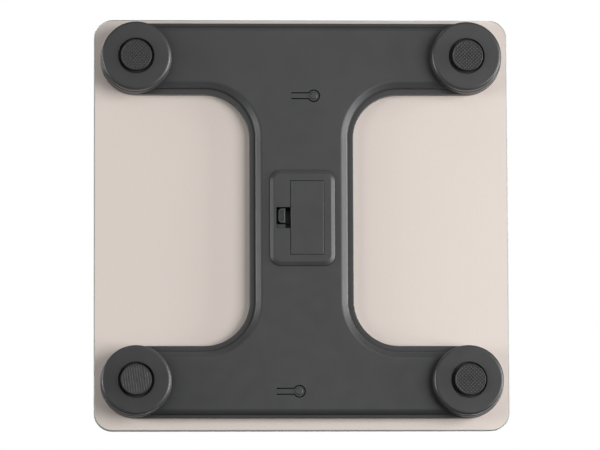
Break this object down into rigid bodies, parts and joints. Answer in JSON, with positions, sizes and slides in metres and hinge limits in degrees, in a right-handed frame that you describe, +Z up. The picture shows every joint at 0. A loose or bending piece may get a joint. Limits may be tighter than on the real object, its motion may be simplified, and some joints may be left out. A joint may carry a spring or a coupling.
{
  "type": "digital bathroom scale",
  "caption": "Square glass bathroom scale on an I-shaped housing, with sprung feet in round corner pods, a hinged battery door with a finger latch, and press tongues underneath.",
  "frame": {"origin": "centre of the square platform, on the floor plane under the rubber feet", "axes": "+Z up through the glass, +Y towards the display end, +X to the right of a person standing on the scale"},
  "size_m": [0.3, 0.3, 0.0295],
  "materials": {
    "platform_glass": "clear tempered glass with pencil edges",
    "back_print": "pale beige ink, slightly pearly",
    "foam_tape": "white adhesive foam",
    "housing_plastic": "dark grey, fine textured",
    "pod_plastic": "dark grey, satin",
    "door_plastic": "dark grey, satin",
    "cell_steel": "plated spring steel",
    "gauge_potting": "white potting",
    "holder_plastic": "black moulded",
    "foot_plastic": "black moulded",
    "foot_rubber": "dark grey, diamond knurled sole",
    "board_laminate": "green solder mask",
    "chip_potting": "black epoxy",
    "display_glass": "grey-green liquid crystal display",
    "display_frame_plastic": "white moulded",
    "zebra_rubber": "striped silicone",
    "switch_plastic": "black",
    "screw_steel": "nickel plated",
    "battery_sleeve": "plain shrink sleeve",
    "contact_steel": "nickel plated",
    "lead_insulation": "pvc insulation"
  },
  "bodies": {
    "platform": {"glass_platform": "platform_glass", "printed_film": "back_print", "mounting_tape": "foam_tape", "base_housing": "housing_plastic", "pod_cap_toe_left": "pod_plastic", "pod_cap_toe_right": "pod_plastic", "pod_cap_heel_left": "pod_plastic", "pod_cap_heel_right": "pod_plastic", "load_cell_toe_left": "cell_steel", "load_cell_toe_right": "cell_steel", "load_cell_heel_left": "cell_steel", "load_cell_heel_right": "cell_steel", "strain_gauge_toe_left": "gauge_potting", "strain_gauge_toe_right": "gauge_potting", "strain_gauge_heel_left": "gauge_potting", "strain_gauge_heel_right": "gauge_potting", "cell_holder_toe_left": "holder_plastic", "cell_holder_toe_right": "holder_plastic", "cell_holder_heel_left": "holder_plastic", "cell_holder_heel_right": "holder_plastic", "main_board": "board_laminate", "button_board": "board_laminate", "controller_chip": "chip_potting", "lcd_panel": "display_glass", "lcd_frame": "display_frame_plastic", "zebra_strip": "zebra_rubber", "unit_switch": "switch_plastic", "reset_switch": "switch_plastic", "board_screws": "screw_steel", "battery_1": "battery_sleeve", "battery_2": "battery_sleeve", "battery_terminal_positive": "contact_steel", "battery_terminal_negative": "contact_steel", "battery_link_plate": "contact_steel", "load_cell_lead_toe_left": "lead_insulation", "load_cell_lead_toe_right": "lead_insulation", "load_cell_lead_heel_left": "lead_insulation", "load_cell_lead_heel_right": "lead_insulation", "battery_leads": "lead_insulation", "button_leads": "lead_insulation"},
    "foot_toe_left": {"foot_plunger_toe_left": "foot_plastic", "foot_pad_toe_left": "foot_rubber"},
    "foot_toe_right": {"foot_plunger_toe_right": "foot_plastic", "foot_pad_toe_right": "foot_rubber"},
    "foot_heel_left": {"foot_plunger_heel_left": "foot_plastic", "foot_pad_heel_left": "foot_rubber"},
    "foot_heel_right": {"foot_plunger_heel_right": "foot_plastic", "foot_pad_heel_right": "foot_rubber"},
    "battery_door": {"battery_door": "door_plastic"},
    "door_latch": {"door_latch": "door_plastic"},
    "unit_button": {"unit_button": "housing_plastic"},
    "reset_button": {"reset_button": "housing_plastic"}
  },
  "joints": [
    {"name": "foot_toe_left_drop", "type": "slide", "parent": "platform", "child": "foot_toe_left", "axis": [0, 0, 1], "range_m": [-0.0005, 0]},
    {"name": "foot_toe_right_drop", "type": "slide", "parent": "platform", "child": "foot_toe_right", "axis": [0, 0, 1], "range_m": [-0.0005, 0]},
    {"name": "foot_heel_left_drop", "type": "slide", "parent": "platform", "child": "foot_heel_left", "axis": [0, 0, 1], "range_m": [-0.0005, 0]},
    {"name": "foot_heel_right_drop", "type": "slide", "parent": "platform", "child": "foot_heel_right", "axis": [0, 0, 1], "range_m": [-0.0005, 0]},
    {"name": "battery_door_hinge", "type": "hinge", "parent": "platform", "child": "battery_door", "pos_m": [-0.0154, 0.0034, 0.0117], "axis": [0, 1, 0], "range_deg": [0, 80]},
    {"name": "door_latch_flex", "type": "slide", "parent": "battery_door", "child": "door_latch", "axis": [-1, 0, 0], "range_m": [0, 0.0012], "stiffness_N_per_m": 2500},
    {"name": "unit_button_press", "type": "hinge", "parent": "platform", "child": "unit_button", "pos_m": [0.0072, 0.0926, 0.014], "axis": [0, 1, 0], "range_deg": [0, 2.8], "stiffness_Nm_per_rad": 1},
    {"name": "reset_button_press", "type": "hinge", "parent": "platform", "child": "reset_button", "pos_m": [0.0184, -0.1224, 0.014], "axis": [0, 1, 0], "range_deg": [0, 2.8], "stiffness_Nm_per_rad": 1}
  ]
}
